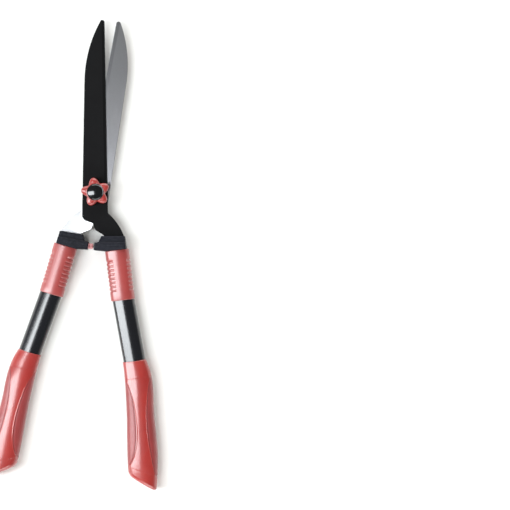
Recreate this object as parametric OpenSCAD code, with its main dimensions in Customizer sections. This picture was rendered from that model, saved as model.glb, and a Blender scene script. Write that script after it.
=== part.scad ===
// Long-handled hedge shears: two blades on an adjustable pivot, each riveted into an oval tube handle.
// The origin is on the pivot axis where the blades meet, +Y runs to the tips and +Z out of the knob side.
// The right handle and the front blade are drawn in place. The left handle and the rear blade are
// the same shapes turned over about the Y axis and opened about the pivot.

/* [Blades] */
// Pivot to blade tip
blade_reach = 250; // [200:1:300]
// Plate thickness of each blade
blade_t = 3; // [2:0.1:4]
// Pivot to cutting edge, level with the pivot
edge_offset = 16.8; // [14:0.1:20]
// Pivot to blade back, level with the pivot
back_offset = 19.5; // [16:0.1:24]
// Lean of the edge and of the back towards the tip
blade_taper = 1; // [0.5:0.05:1.5]
// Radius of the blade tip
tip_r = 3.3; // [2:0.1:4]
// Lean of the curved back where it reaches the tip
tip_lean = 27.7; // [22:0.1:32]
// Radius of the curved back
back_r = 185; // [120:1:190]
// Width of the ground bevel along the cutting edge
bevel_w = 4.5; // [3:0.1:7]
// Flat left at the cutting edge below the bevel
edge_land = 0.6; // [0.3:0.1:1]
// Pivot to the square heel of the blade
heel_drop = 43; // [38:0.5:46]
// How far the blades stand open at rest, past the point where they are mirror images
rest_opening = 9.7; // [6:0.1:30]
// The same angle with the buffer home in its stop
closed_opening = 5.1; // [4:0.1:6]

/* [Pivot] */
// Pivot bolt diameter
bolt_d = 8; // [6:0.5:10]
// Bolt head diameter
bolt_head_d = 19; // [15:0.5:24]
// Bolt head height
bolt_head_h = 4.2; // [3:0.1:6]
// Bolt end above the nut
bolt_stickout = 1; // [0.5:0.1:2]
// Outer diameter of the thin washer between the blades
gap_washer_d = 24; // [18:0.5:30]
// Thickness of the thin washer between the blades
gap_washer_t = 0.4; // [0.3:0.05:1]
// Outer diameter of the flat washer
flat_washer_d = 22; // [18:0.5:28]
// Thickness of the flat washer
flat_washer_t = 1.6; // [1:0.1:2.5]
// Outer diameter of the wave washer
wave_washer_d = 17; // [15:0.5:20]
// Strip thickness of the wave washer
wave_strip_t = 0.5; // [0.3:0.05:0.8]
// Height of the wave washer over its crests
wave_h = 1.2; // [0.9:0.1:2]

/* [Knob] */
// Radius to the end of a knob lobe
knob_lobe_r = 21; // [18:0.5:26]
// Radius at the bottom of a knob valley
knob_valley_r = 14; // [13:0.5:16]
// Height of the knob body
knob_h = 12; // [11:0.5:16]
// Number of lobes
knob_lobes = 5; // [4:1:7]
// Turn of the first lobe from +X at rest
knob_turn = 28; // [0:1:71]
// Floor of the knob under the nut
knob_floor = 2; // [1.5:0.1:3]
// Width of the nut over its flats
nut_flats = 13; // [12:0.1:14]
// Height of the nut
nut_h = 6.5; // [5:0.1:7]
// Diameter of the cap
cap_d = 24; // [20:0.5:25]
// Depth of the cap's seat in the knob
cap_seat = 2.6; // [2:0.1:3]
// Height of the domed cap above the knob
cap_rise = 2.4; // [1.5:0.1:4]
// Wall of the cap
cap_wall = 1.2; // [0.8:0.1:2]

/* [Collars] */
// Pivot to the top of a collar, along Y
collar_drop = 63.5; // [58:0.5:70]
// Height of a collar, down to the top of the tube
collar_h = 20.4; // [17:0.1:26]
// Depth of the upper tier of a collar
upper_tier_d = 21; // [18:0.5:26]
// Depth of the lower tier of a collar
lower_tier_d = 30; // [26:0.5:34]
// Height of the upper tier
upper_tier_h = 8.5; // [6:0.5:10]
// Radius of the collar's outer corners
collar_corner_r = 2; // [1:0.1:3]
// Depth of the groove between the tiers
groove_depth = 0.8; // [0.4:0.1:1.5]
// Width of the groove between the tiers
groove_w = 1.4; // [0.8:0.1:2]
// Height of the lobe that carries the buffer
lobe_h = 11.4; // [11:0.1:13]
// Length of the spigot inside the tube
spigot_l = 42; // [30:1:48]

/* [Buffer] */
// Gap left between the two lobes with the blades closed
lobe_gap = 2.4; // [1:0.1:4]
// Diameter of the buffer nose
buffer_d = 8; // [6:0.1:9]
// Depth of the stop's recess, which the nose enters
stop_depth = 4.9; // [3:0.1:6]
// Diameter of the buffer's flange
flange_d = 10; // [8:0.1:11]
// Thickness of the buffer's flange
flange_t = 1.4; // [1:0.1:2]
// Diameter of the buffer's stem in the collar
stem_d = 4; // [3:0.1:5]
// Length of the buffer's stem in the collar
stem_l = 9; // [6:0.5:12]

/* [Handle tubes] */
// Pivot to the top of the tube, across the blade
handle_x = 30.4; // [26:0.1:34]
// Outward lean of the sleeve and of the upper tube
sleeve_lean = 6.9; // [5:0.1:9]
// Outward lean of the tube below its bend
tube_lean = 10.3; // [8:0.1:12]
// Width of the oval tube
tube_w = 31.9; // [28:0.1:36]
// Depth of the oval tube
tube_d = 21; // [18:0.1:25]
// Wall of the tube
tube_wall = 1.2; // [0.8:0.1:2]
// Length of tube that shows between the sleeve and the grip
tube_show = 91; // [60:1:140]
// Length of tube inside the grip
tube_in_grip = 38; // [25:1:40]
// Width of the tang inside the tube
tang_w = 22; // [18:0.5:24]
// Length of the tang below the collar
tang_l = 40; // [28:1:42]
// Diameter of the rivets through the tube and the tang
rivet_d = 5; // [4:0.1:6]
// Number of rivets in each handle
rivets = 2; // [2:1:3]
// Spacing of the rivets
rivet_pitch = 16; // [12:0.5:18]
// Top of the tube to the first rivet
rivet_drop = 12; // [10:0.5:14]

/* [Sleeves] */
// Length of the ribbed sleeve
sleeve_l = 73; // [66:1:100]
// Wall of the sleeve
sleeve_wall = 1.4; // [1.2:0.1:3]
// Bend of the tube above the lower end of the sleeve
bend_rise = 10; // [6:0.5:20]
// Number of grooves in each flank
flank_grooves = 8; // [4:1:10]
// Spacing of the grooves
groove_pitch = 6; // [4:0.1:7]
// Top of the sleeve to the first groove
groove_start = 15; // [10:0.5:20]
// Depth of the grooves
flank_depth = 0.9; // [0.4:0.1:1]
// How far round from the middle of the inner flank a groove runs
inner_span = 70; // [40:1:80]
// How far round from the middle of the outer flank a groove runs
outer_span = 50; // [30:1:80]

/* [Grips] */
// Length of the grip along its inner side
grip_l = 163; // [150:1:180]
// Extra length of the slanted butt on its outer side
butt_slant = 27; // [14:0.5:32]
// Wall of the grip round the tube at its mouth
mouth_wall = 1.1; // [0.9:0.1:3]
// How much wider the grip's waist is than its mouth
waist_widening = 5.4; // [4:0.1:9]
// How much deeper the grip's waist is than its mouth
waist_deepening = 3.9; // [2:0.1:7]
// How much wider the grip's swell is than its waist
swell_widening = 4.4; // [2:0.1:8]
// How much deeper the grip's swell is than its waist
swell_deepening = 2.1; // [1:0.1:6]
// Radius round the butt
butt_r = 7; // [4:0.5:8]
// Thickness of the soft pads let into the grip
pad_t = 2.2; // [1.5:0.1:3]
// Wall of the grip's hollow core
core_wall = 6; // [5:0.5:8]

/* [Fits] */
// Radial running clearance of the bolt in what turns round it
running_fit = 0.05; // [0.02:0.01:0.1]
// Gap between parts that are fixed together
seat_fit = 0.1; // [0.05:0.01:0.2]
// Radial gap of the sleeve and the grip round the tube
slip_fit = 0.15; // [0.1:0.01:0.3]
// Gap under the soft pads
pad_fit = 0.25; // [0.2:0.01:0.4]

/* [Hidden] */
$fn = 64;

// Number of points round an oval ring, and round a pad
RING = 32;
PAD = 10;
// Small overshoot of a cut past the face that it opens
CUT = 1;
// Steps of a rounded corner
CORNER = 8;

// Levels of the stack on the bolt
blade_low = gap_washer_t / 2;
blade_top = blade_low + blade_t;
wave_low = blade_top + flat_washer_t;
knob_low = wave_low + wave_h + running_fit;
knob_top = knob_low + knob_h;
nut_low = knob_low + knob_floor;
bolt_top = nut_low + nut_h + bolt_stickout;
bolt_r = bolt_d / 2;
handle_y = collar_drop + collar_h;

// Outer sizes of what goes round the tube
sleeve_w = tube_w + 2 * (slip_fit + sleeve_wall);
sleeve_d = tube_d + 2 * (slip_fit + sleeve_wall);
mouth_w = tube_w + 2 * (slip_fit + mouth_wall);
mouth_d = tube_d + 2 * (slip_fit + mouth_wall);
waist_w = mouth_w + waist_widening;
waist_d = mouth_d + waist_deepening;
swell_w = waist_w + swell_widening;
swell_d = waist_d + swell_deepening;

// A number's power with its sign kept
function spow(v, p) = sign(v) * pow(abs(v), p);
// A vector turned by an angle about Z
function turned(v, a) = [v.x * cos(a) - v.y * sin(a), v.x * sin(a) + v.y * cos(a)];
function unit(v) = v / norm(v);

// An outline from corners [x, y, radius]: each corner with a radius becomes an arc
function rounded(corners) = let (n = len(corners)) [
    for (i = [0:n - 1])
        let (p = [corners[i].x, corners[i].y], r = corners[i].z,
             before = corners[(i + n - 1) % n], after = corners[(i + 1) % n],
             u = unit([before.x, before.y] - p), v = unit([after.x, after.y] - p),
             half = acos(u * v) / 2, centre = p + unit(u + v) * r / sin(half),
             start = p + u * r / tan(half) - centre, turn = -sign(u.x * v.y - u.y * v.x) * (180 - 2 * half))
        for (k = [0:CORNER]) centre + turned(start, turn * k / CORNER)];

// A smooth run through rows of numbers, with the ends kept
function smooth(rows, steps) = let (n = len(rows)) [
    for (i = [0:n - 2], k = [0:steps - (i == n - 2 ? 0 : 1)])
        let (t = k / steps, a = rows[max(i - 1, 0)], b = rows[i], c = rows[i + 1], d = rows[min(i + 2, n - 1)])
        (2 * b + (c - a) * t + (2 * a - 5 * b + 4 * c - d) * t * t
            + (3 * b - a - 3 * c + d) * t * t * t) / 2];

// A place on the upper tube: x across the tube towards the outside, y along it towards the blade
function on_handle(p) = [handle_x, -handle_y] + turned(p, sleeve_lean);
bend_y = bend_rise - sleeve_l;
// The same below the bend
function below_bend(p) = on_handle([0, bend_y]) + turned(p, tube_lean);
grip_y = -bend_rise - tube_show;
grip_top = below_bend([0, grip_y]);

/* Blades */

function edge_x(y) = edge_offset - y * tan(blade_taper);
function back_x(y) = -back_offset + y * tan(blade_taper);

// Corners of the front blade, from the tip down the cutting edge, round the tang and up the back
tip_corner_y = blade_reach + tip_r * (1 / sin((tip_lean + blade_taper) / 2) - 1);
back_corner_y = tip_corner_y - (edge_x(tip_corner_y) - back_x(blade_reach * 0.82)) / tan(tip_lean);
shoulder_y = -collar_drop - 5;
blade_corners = [
    [edge_x(tip_corner_y), tip_corner_y, tip_r],
    [edge_x(-30), -30, 3],
    [handle_x + 1.6, -44.6, 80],
    [handle_x + 10, 1 - collar_drop, 2],
    [handle_x + 10, shoulder_y, 2],
    concat(on_handle([tang_w / 2, 10]), 2),
    concat(on_handle([tang_w / 2, -tang_l]), 3),
    concat(on_handle([-tang_w / 2, -tang_l]), 3),
    concat(on_handle([-tang_w / 2, 10]), 2),
    [handle_x - 18, shoulder_y, 1],
    [handle_x - 19, 1 - collar_drop, 2],
    [-1.5, -11.5 - heel_drop, 2.5],
    [-4.3, -2 - heel_drop, 1],
    [-16.7, 2.4 - heel_drop, 2],
    [back_x(-35.6), 7.4 - heel_drop, 2],
    [back_x(back_corner_y), back_corner_y, back_r],
];

module blade_plate() {
    difference() {
        translate([0, 0, blade_low]) linear_extrude(blade_t) polygon(rounded(blade_corners));
        bevel_cut();
        rivet_cuts(rivet_d / 2 + seat_fit);
    }
}

// The wedge that grinds the outer face down to the cutting edge
module bevel_cut() {
    past = bevel_w / (blade_t - edge_land) * CUT;
    translate([edge_offset, 0, blade_low]) rotate([90, 0, blade_taper])
        translate([0, 0, -blade_reach - CUT]) linear_extrude(blade_reach + CUT - 12)
            polygon([[CUT, edge_land - CUT * (blade_t - edge_land) / bevel_w],
                     [-bevel_w - past, blade_t + CUT], [CUT, blade_t + CUT]]);
}

module rivet_cuts(r) {
    for (i = [0:rivets - 1])
        translate(concat(on_handle([0, -rivet_drop - i * rivet_pitch]), -lower_tier_d))
            cylinder(h = 2 * lower_tier_d, r = r);
}

module turned_over() {
    rotate([0, 0, -rest_opening]) rotate([0, 180, 0]) children();
}

module front_blade() {
    color([0.13, 0.13, 0.13]) difference() {
        blade_plate();
        translate([0, 0, blade_low - CUT]) cylinder(h = blade_t + 2 * CUT, r = bolt_r + running_fit);
    }
}

module rear_blade() {
    color([0.62, 0.63, 0.65]) turned_over() difference() {
        blade_plate();
        side = bolt_d + 2 * seat_fit;
        translate([-side / 2, -side / 2, blade_low - CUT]) cube([side, side, blade_t + 2 * CUT]);
    }
}

/* Pivot */

module pivot_bolt() {
    neck_h = blade_t - seat_fit;
    color("silver") rotate([0, 0, -rest_opening]) {
        // A shallow domed head, cut from a turned profile
        translate([0, 0, -blade_top - bolt_head_h]) rotate_extrude()
            polygon([[0, 0], [bolt_head_d * 0.26, 0.3], [bolt_head_d * 0.42, 1.5],
                     [bolt_head_d / 2, bolt_head_h - 1], [bolt_head_d / 2, bolt_head_h], [0, bolt_head_h]]);
        translate([-bolt_r, -bolt_r, -blade_top - 0.01]) cube([bolt_d, bolt_d, neck_h]);
        translate([0, 0, -blade_top - 0.01]) cylinder(h = bolt_top + blade_top - 0.6, r = bolt_r);
        translate([0, 0, bolt_top - 0.61]) cylinder(h = 0.61, r1 = bolt_r, r2 = bolt_r - 0.6);
    }
}

module ring_washer(low, t, d, hole_r) {
    translate([0, 0, low]) difference() {
        cylinder(h = t, r = d / 2);
        translate([0, 0, -CUT]) cylinder(h = t + 2 * CUT, r = hole_r);
    }
}

module gap_washer() {
    color("white") ring_washer(-gap_washer_t / 2, gap_washer_t, gap_washer_d, bolt_r + running_fit);
}

module flat_washer() {
    color("silver") ring_washer(blade_top, flat_washer_t, flat_washer_d, bolt_r + running_fit);
}

// A flat strip bent into three waves
module wave_washer() {
    waves = 3;
    steps = 48;
    inner = bolt_r + 0.4;
    swing = (wave_h - wave_strip_t) / 2;
    points = [for (i = [0:steps - 1], k = [0:3])
        let (a = 360 * i / steps, r = k < 2 ? inner : wave_washer_d / 2,
             z = wave_low + swing * (1 - cos(waves * a)) + (k == 1 || k == 2 ? wave_strip_t : 0))
        [r * cos(a), r * sin(a), z]];
    color("gainsboro") loop_skin(points, 4, steps);
}

/* Knob */

function lobe_point(a) = let (swell = pow((1 + cos(knob_lobes * a)) / 2, 0.8),
    r = knob_valley_r + (knob_lobe_r - knob_valley_r) * swell) r * [cos(a), sin(a)];

module star_knob() {
    color([0.8, 0.28, 0.24]) rotate([0, 0, knob_turn]) difference() {
        translate([0, 0, knob_low]) linear_extrude(knob_h)
            polygon([for (i = [0:knob_lobes * 20 - 1]) lobe_point(i * 18 / knob_lobes)]);
        translate([0, 0, knob_low - CUT]) cylinder(h = knob_h, r = bolt_r + seat_fit * 3);
        translate([0, 0, nut_low]) cylinder(h = knob_h, r = (nut_flats / 2 + seat_fit) / cos(30), $fn = 6);
        translate([0, 0, knob_top - cap_seat]) cylinder(h = knob_h, r = cap_d / 2 + seat_fit);
    }
}

module knob_nut() {
    color("silver") rotate([0, 0, knob_turn]) translate([0, 0, nut_low + seat_fit]) difference() {
        cylinder(h = nut_h - seat_fit, r = nut_flats / 2 / cos(30), $fn = 6);
        translate([0, 0, -CUT]) cylinder(h = nut_h + 2 * CUT, r = bolt_r + running_fit);
    }
}

// A domed disc, hollow over the end of the bolt
module knob_cap() {
    dome = concat([[cap_d / 2, 0]], [for (k = [0:6]) let (a = 15 * k)
        [cap_d / 2 * cos(a), cap_seat + cap_rise * sin(a)]]);
    color([0.1, 0.1, 0.12]) translate([0, 0, knob_top - cap_seat + seat_fit]) difference() {
        rotate_extrude() polygon(concat([[0, 0]], dome));
        translate([0, 0, -CUT]) cylinder(h = CUT + cap_seat + cap_rise - cap_wall - seat_fit, r = bolt_r + 1);
    }
}

/* Collars and buffer */

// The stop plane passes through the pivot: both lobes face it, half the gap away
function lobe_face_x(y) = y * tan(closed_opening / 2) + lobe_gap / 2;
lobe_low = -handle_y - 0.4;
lobe_mid = lobe_low + lobe_h / 2;
collar_side = tube_w / 2 - 2.2;
collar_corners = [
    [handle_x - 22, -collar_drop, collar_corner_r],
    [handle_x + 11.5, -collar_drop, collar_corner_r],
    concat(on_handle([collar_side, 8]), 4),
    concat(on_handle([collar_side, 0]), 0.5),
    concat(on_handle([-tube_w / 2 - 1, 0]), collar_corner_r),
    [lobe_face_x(lobe_low), lobe_low, collar_corner_r],
    [lobe_face_x(lobe_low + lobe_h), lobe_low + lobe_h, collar_corner_r],
    [3.6, lobe_low + lobe_h, 3],
];
tier_y = -collar_drop - upper_tier_h;

// Places children on the buffer's axis, which points at the other collar
module at_lobe() {
    translate([lobe_face_x(lobe_mid), lobe_mid, 0]) rotate([0, 0, -closed_opening / 2])
        rotate([0, -90, 0]) children();
}

module collar_body() {
    difference() {
        union() {
            translate([0, 0, -upper_tier_d / 2]) linear_extrude(upper_tier_d)
                polygon(rounded(collar_corners));
            intersection() {
                translate([0, 0, -lower_tier_d / 2]) linear_extrude(lower_tier_d)
                    polygon(rounded(collar_corners));
                translate([-50, tier_y - 50, -lower_tier_d]) cube([150, 50, 2 * lower_tier_d]);
            }
            skin([spigot_ring(CUT), spigot_ring(-spigot_l)]);
        }
        // The slot for the tang
        translate([0, 0, blade_low - seat_fit]) linear_extrude(blade_t + 2 * seat_fit)
            polygon(rounded(blade_corners));
        for (s = [-1, 1]) translate([-50, tier_y - groove_w, s > 0 ? lower_tier_d / 2 - groove_depth
                : -lower_tier_d / 2 - CUT]) cube([150, groove_w, CUT + groove_depth]);
        rivet_cuts(rivet_d / 2 + seat_fit);
    }
}

// The front half's collar holds the stop
module right_collar() {
    color([0.15, 0.16, 0.2]) difference() {
        collar_body();
        at_lobe() translate([0, 0, -stop_depth]) cylinder(h = stop_depth + CUT, r = buffer_d / 2 + 0.7);
    }
}

// The rear half's collar holds the buffer
module left_collar() {
    color([0.15, 0.16, 0.2]) turned_over() difference() {
        collar_body();
        at_lobe() translate([0, 0, -flange_t]) cylinder(h = flange_t + CUT, r = flange_d / 2 + seat_fit);
        at_lobe() translate([0, 0, -flange_t - stem_l - seat_fit])
            cylinder(h = stem_l + flange_t, r = stem_d / 2 + seat_fit);
    }
}

// A soft round-nosed plug with its flange let into the lobe
module buffer() {
    reach = lobe_gap + stop_depth - seat_fit;
    nose = buffer_d / 2;
    color([0.72, 0.2, 0.2]) turned_over() at_lobe() rotate_extrude()
        polygon(concat(
            [[0, -flange_t - stem_l], [stem_d / 2, -flange_t - stem_l], [stem_d / 2, seat_fit - flange_t],
             [flange_d / 2, seat_fit - flange_t], [flange_d / 2, 0], [nose, 0]],
            [for (k = [0:6]) let (a = 15 * k) [nose * cos(a), reach - nose * 0.55 * (1 - sin(a))]]));
}

/* Handles */

// An oval ring of points about c, with its width along an axis leaning by a
function ring(c, a, w, d, p = 1) = [for (i = [0:RING - 1]) let (f = 360 * i / RING,
    across = turned([w / 2 * spow(cos(f), p), 0], a)) [c.x + across.x, c.y + across.y, d / 2 * spow(sin(f), p)]];

// Triangles that join two neighbouring rings of n points
function band(k, next, n) = [for (i = [0:n - 1]) let (j = (i + 1) % n)
    each [[k * n + i, next * n + i, next * n + j], [k * n + i, next * n + j, k * n + j]]];

// A closed solid through a chain of rings, with a flat end on the first and on the last
module skin(rings) {
    n = len(rings[0]);
    last = len(rings) - 1;
    polyhedron([for (r = rings) each r], concat(
        [[for (i = [n - 1:-1:0]) n - 1 - i]],
        [for (k = [0:last - 1]) each band(k, k + 1, n)],
        [[for (i = [0:n - 1]) last * n + n - 1 - i]]));
}

// A closed solid through rings that run back into the first
module loop_skin(points, n, count) {
    polyhedron(points, [for (k = [0:count - 1]) each band(k, (k + 1) % count, n)]);
}

function spigot_ring(y) = ring(on_handle([0, y]), sleeve_lean, tube_w - 2 * tube_wall - 2 * seat_fit,
    tube_d - 2 * tube_wall - 2 * seat_fit);

// The tube's path as rings, grown by a radial amount, from y down to the bend and on to y below it
function tube_rings(top, low, grow) = [
    ring(on_handle([0, top]), sleeve_lean, tube_w + 2 * grow, tube_d + 2 * grow),
    ring(on_handle([0, bend_y]), (sleeve_lean + tube_lean) / 2, tube_w + 2 * grow, tube_d + 2 * grow),
    ring(below_bend([0, low]), tube_lean, tube_w + 2 * grow, tube_d + 2 * grow)];
function reversed(list) = [for (i = [len(list) - 1:-1:0]) list[i]];

module tube() {
    low = grip_y - tube_in_grip;
    rings = concat(tube_rings(-seat_fit, low, 0), reversed(tube_rings(-seat_fit, low, -tube_wall)));
    difference() {
        loop_skin([for (r = rings) each r], RING, len(rings));
        rivet_cuts(rivet_d / 2 + seat_fit);
    }
}
module right_tube() { color([0.12, 0.12, 0.15]) tube(); }
module left_tube() { color([0.12, 0.12, 0.15]) turned_over() tube(); }

// Flush rivets through the tube, the spigot and the tang
module rivet_set() {
    h = tube_d * sqrt(1 - pow(rivet_d / tube_w, 2)) - seat_fit;
    for (i = [0:rivets - 1])
        translate(concat(on_handle([0, -rivet_drop - i * rivet_pitch]), -h / 2)) cylinder(h = h, r = rivet_d / 2);
}
module right_rivets() { color("silver") rivet_set(); }
module left_rivets() { color("silver") turned_over() rivet_set(); }

// A sleeve ring at y, with its two flanks pressed in by a depth
function sleeve_ring(y, depth) = [for (i = [0:RING - 1]) let (f = 360 * i / RING,
    inward = abs(180 - f), outward = min(f, 360 - f), in = inward <= inner_span || outward <= outer_span ? depth : 0,
    across = turned([(sleeve_w / 2 - in) * cos(f), 0], sleeve_lean), c = on_handle([0, y]))
    [c.x + across.x, c.y + across.y, (sleeve_d / 2 - in) * sin(f)]];

module sleeve() {
    low = -sleeve_l + bend_rise;
    groove_rings = [for (i = [0:flank_grooves - 1]) let (y = -groove_start - i * groove_pitch, h = groove_pitch)
        each [[y, 0], [y - h * 0.15, flank_depth], [y - h * 0.4, flank_depth], [y - h * 0.55, 0]]];
    stations = concat([[-seat_fit, 0]], groove_rings, [[-sleeve_l, 0]]);
    bore = [ring(on_handle([0, -seat_fit]), sleeve_lean, tube_w + 2 * slip_fit, tube_d + 2 * slip_fit),
            ring(on_handle([0, low]), (sleeve_lean + tube_lean) / 2, tube_w + 2 * slip_fit, tube_d + 2 * slip_fit),
            ring(below_bend([0, -bend_rise - 0.3]), sleeve_lean, tube_w + 2 * slip_fit, tube_d + 2 * slip_fit)];
    rings = concat([for (s = stations) sleeve_ring(s[0], s[1])], reversed(bore));
    loop_skin([for (r = rings) each r], RING, len(rings));
}
module right_sleeve() { color([0.78, 0.32, 0.3]) sleeve(); }
module left_sleeve() { color([0.78, 0.32, 0.3]) turned_over() sleeve(); }

/* Grips */

// Rungs of the grip, from its mouth to its butt: how far down each side is, its inner and outer side
// measured from the middle of the mouth, and its depth
rung_rows = let (inner = -mouth_w / 2, waist = inner + waist_w, swell = inner + swell_w) [
    [0, 0, inner, mouth_w / 2, mouth_d],
    [grip_l * 0.11, grip_l * 0.1, inner + 2.2, mouth_w / 2 + 6, mouth_d + 1.5],
    [grip_l * 0.26, grip_l * 0.25, inner + 4.2, waist + 4.4, waist_d],
    [grip_l * 0.47, grip_l * 0.46, inner + 5.8, waist + 5.6, waist_d],
    [grip_l * 0.65, grip_l * 0.66, inner + 6.2, swell + 4.4, swell_d - 1],
    [grip_l * 0.81, grip_l * 0.84, inner + 6.7, swell + 6.7, swell_d],
    [grip_l * 0.92, grip_l * 0.94 + butt_slant * 0.55, inner + 7.3, swell + 6.3, swell_d],
    [grip_l * 0.96, grip_l * 0.965 + butt_slant, inner + 7.8, swell + 5.4, swell_d - 0.6],
];
rungs = smooth(rung_rows, 3);
last_rung = len(rungs) - 1;
// A rung at any whole or part number
function rung(k) = let (i = min(floor(k), last_rung - 1), t = k - i) rungs[i] * (1 - t) + rungs[i + 1] * t;

// Middle, lean and width of the grip at a rung
function rung_in(r) = grip_top + [r[2], -r[0] - 1.6];
function rung_out(r) = grip_top + [r[3], -r[1] + 1.6];
function rung_mid(r) = (rung_in(r) + rung_out(r)) / 2;
function rung_w(r) = norm(rung_out(r) - rung_in(r));
function rung_lean(r) = let (v = rung_out(r) - rung_in(r)) atan2(v.y, v.x);

// The span of rungs that the pads cover, and how far round the grip each pad reaches
first_pad = 4;
last_pad = 18;
// End walls of the pads' recesses, and the pads themselves, start a part of a rung in
wall_step = 0.04;
pad_step = 0.08;
// The side walls of a recess open outwards by this angle, and the pad keeps as much from them
pad_lip = 1.2;
function pad_stations(step) = concat([first_pad + step], [for (k = [first_pad + 1:last_pad - 1]) k],
    [last_pad - step]);
function pad_share(k) = (k - first_pad) / (last_pad - first_pad);
function between_rungs(k, low, high) = low + (high - low) * (k - floor(k));
function inner_bulge(k) = 16 + 60 * pow(sin(180 * pad_share(k)), 0.7);
function outer_bulge(k) = 26 + 38 * pow(sin(180 * pad_share(k)), 0.5);
function inner_reach(k) = between_rungs(k, inner_bulge(floor(k)), inner_bulge(ceil(k)));
function outer_reach(k) = between_rungs(k, outer_bulge(floor(k)), outer_bulge(ceil(k)));

// A point of the grip's surface at an angle round it, let in by a depth
function grip_point(k, f, depth) = let (r = rung(k), w = rung_w(r), d = r[4], c = rung_mid(r),
    across = turned([(w / 2 - depth) * spow(cos(f), 0.9), 0], rung_lean(r)))
    [c.x + across.x, c.y + across.y, (d / 2 - depth) * spow(sin(f), 0.9)];

// Angles round a pad about the middle of its side
function pad_angles(middle, reach, n) = [for (i = [0:n - 1]) middle - reach + 2 * reach * i / (n - 1)];
// Angles round the grip between the pads
function between(low, high, n) = [for (i = [1:n]) low + (high - low) * i / (n + 1)];

// A whole ring of the grip, let in by depth where the pads lie
function grip_ring(k, depth) = let (ro = outer_reach(min(max(k, first_pad), last_pad)),
    ri = inner_reach(min(max(k, first_pad), last_pad)), oe = ro + pad_lip, ie = ri + pad_lip) concat(
    [grip_point(k, -oe, 0)], [for (f = pad_angles(0, ro, PAD)) grip_point(k, f, depth)],
    [grip_point(k, oe, 0)], [for (f = between(oe, 180 - ie, 6)) grip_point(k, f, 0)],
    [grip_point(k, 180 - ie, 0)], [for (f = pad_angles(180, ri, PAD)) grip_point(k, f, depth)],
    [grip_point(k, 180 + ie, 0)], [for (f = between(180 + ie, 360 - oe, 6)) grip_point(k, f, 0)]);
GRIP_RING = len(grip_ring(0, 0));

// A plain ring of the same number of points for the bore
function bore_ring(c, a, w, d) = [for (i = [0:GRIP_RING - 1]) let (f = 360 * i / GRIP_RING - outer_reach(first_pad),
    across = turned([w / 2 * cos(f), 0], a)) [c.x + across.x, c.y + across.y, d / 2 * sin(f)]];
function core_ring(k) = let (r = rungs[k]) bore_ring(rung_mid(r), rung_lean(r), rung_w(r) - 2 * core_wall,
    r[4] - 2 * core_wall);
function tube_bore(y, w, d) = bore_ring(below_bend([0, y]), tube_lean, w, d);

// The rounded butt beyond the last rung, running on in the grip's own direction
function butt_ring(a) = let (k = last_rung, r = rungs[k], c = rung_mid(r), lean = rung_lean(r),
    way = c - rung_mid(rungs[k - 4]), s = butt_r * (1 - cos(a)), move = way / norm(way) * butt_r * sin(a),
    w = rung_w(r), d = r[4])
    [for (p = grip_ring(k, 0)) let (q = turned([p.x - c.x, p.y - c.y], -lean),
        t = turned([q.x * (w - 2 * s) / w, q.y], lean)) [c.x + t.x + move.x, c.y + t.y + move.y, p.z * (d - 2 * s) / d]];

module grip() {
    w = tube_w + 2 * slip_fit;
    d = tube_d + 2 * slip_fit;
    seat = grip_y - tube_in_grip - seat_fit;
    inside = [core_ring(last_rung - 2), core_ring(last_rung - 5), core_ring(last_rung - 9),
              tube_bore(seat - 3, w - 4 * tube_wall - 4, d - 4 * tube_wall),
              tube_bore(seat, w - 4 * tube_wall, d - 4 * tube_wall),
              tube_bore(seat, w, d), tube_bore(grip_y + 1, w, d)];
    outside = concat([for (k = [0:first_pad]) grip_ring(k, 0)],
        [for (k = pad_stations(wall_step)) grip_ring(k, pad_t)],
        [for (k = [last_pad:last_rung]) grip_ring(k, 0)], [for (a = [20:20:80]) butt_ring(a)]);
    skin(concat(inside, outside));
}
module right_grip() { color([0.75, 0.26, 0.25]) grip(); }
module left_grip() { color([0.75, 0.26, 0.25]) turned_over() grip(); }

// A soft pad in its recess, about the outer side (middle 0) or the inner side (middle 180)
module pad(middle) {
    rings = [for (k = pad_stations(pad_step)) let (reach = middle == 0 ? outer_reach(k) : inner_reach(k)) concat(
        [for (f = pad_angles(middle, reach, PAD)) grip_point(k, f, 0)],
        reversed([for (f = pad_angles(middle, reach - pad_lip, PAD)) grip_point(k, f, pad_t - pad_fit)]))];
    skin(rings);
}
module right_inner_pad() { color([0.85, 0.45, 0.45]) pad(180); }
module left_inner_pad() { color([0.85, 0.45, 0.45]) turned_over() pad(180); }
module right_outer_pad() { color([0.6, 0.16, 0.18]) pad(0); }
module left_outer_pad() { color([0.6, 0.16, 0.18]) turned_over() pad(0); }

front_blade();
rear_blade();
right_collar();
left_collar();
right_tube();
left_tube();
right_rivets();
left_rivets();
right_sleeve();
left_sleeve();
right_grip();
left_grip();
right_inner_pad();
left_inner_pad();
right_outer_pad();
left_outer_pad();
buffer();
pivot_bolt();
gap_washer();
flat_washer();
wave_washer();
star_knob();
knob_nut();
knob_cap();
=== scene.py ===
"""Hedge shears lying on a pale floor: the detailed visual model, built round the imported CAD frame."""

import math

import bmesh
import bpy
from mathutils import Matrix, Vector


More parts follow.
